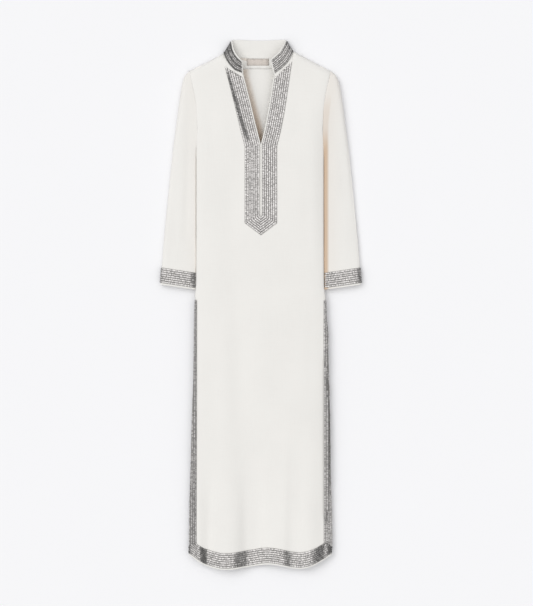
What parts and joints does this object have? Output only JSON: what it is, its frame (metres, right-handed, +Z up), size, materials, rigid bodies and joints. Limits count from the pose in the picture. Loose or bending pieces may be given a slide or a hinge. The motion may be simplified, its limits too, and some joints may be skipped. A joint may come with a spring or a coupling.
{
  "type": "kaftan",
  "caption": "Long off-white kaftan with a stand collar, deep V neck, side slits and silver beaded bands, laid flat and face up.",
  "frame": {"origin": "below the middle of the garment's bounding box, on the surface it lies on", "axes": "+X across the garment to the right as seen from above, +Y from the hem up to the collar, +Z up off the surface"},
  "size_m": [0.5364, 1.4062, 0.033],
  "materials": {
    "cloth": "matt off-white plain weave",
    "beads": "rows of small silver and grey beads sewn on cloth",
    "label": "plain woven label, left blank"
  },
  "bodies": {
    "root": {"front_panel": "cloth", "back_panel": "cloth", "collar": "cloth", "sleeve_left": "cloth", "sleeve_right": "cloth", "placket_piping_left": "cloth", "placket_piping_right": "cloth", "neck_facing": "cloth", "collar_trim": "beads", "placket_trim_left": "beads", "placket_trim_right": "beads", "cuff_trim_left": "beads", "cuff_trim_right": "beads", "front_hem_trim": "beads", "front_slit_trim_left": "beads", "front_slit_trim_right": "beads", "back_hem_trim": "beads", "back_slit_trim_left": "beads", "back_slit_trim_right": "beads", "neck_label": "label"}
  },
  "joints": []
}
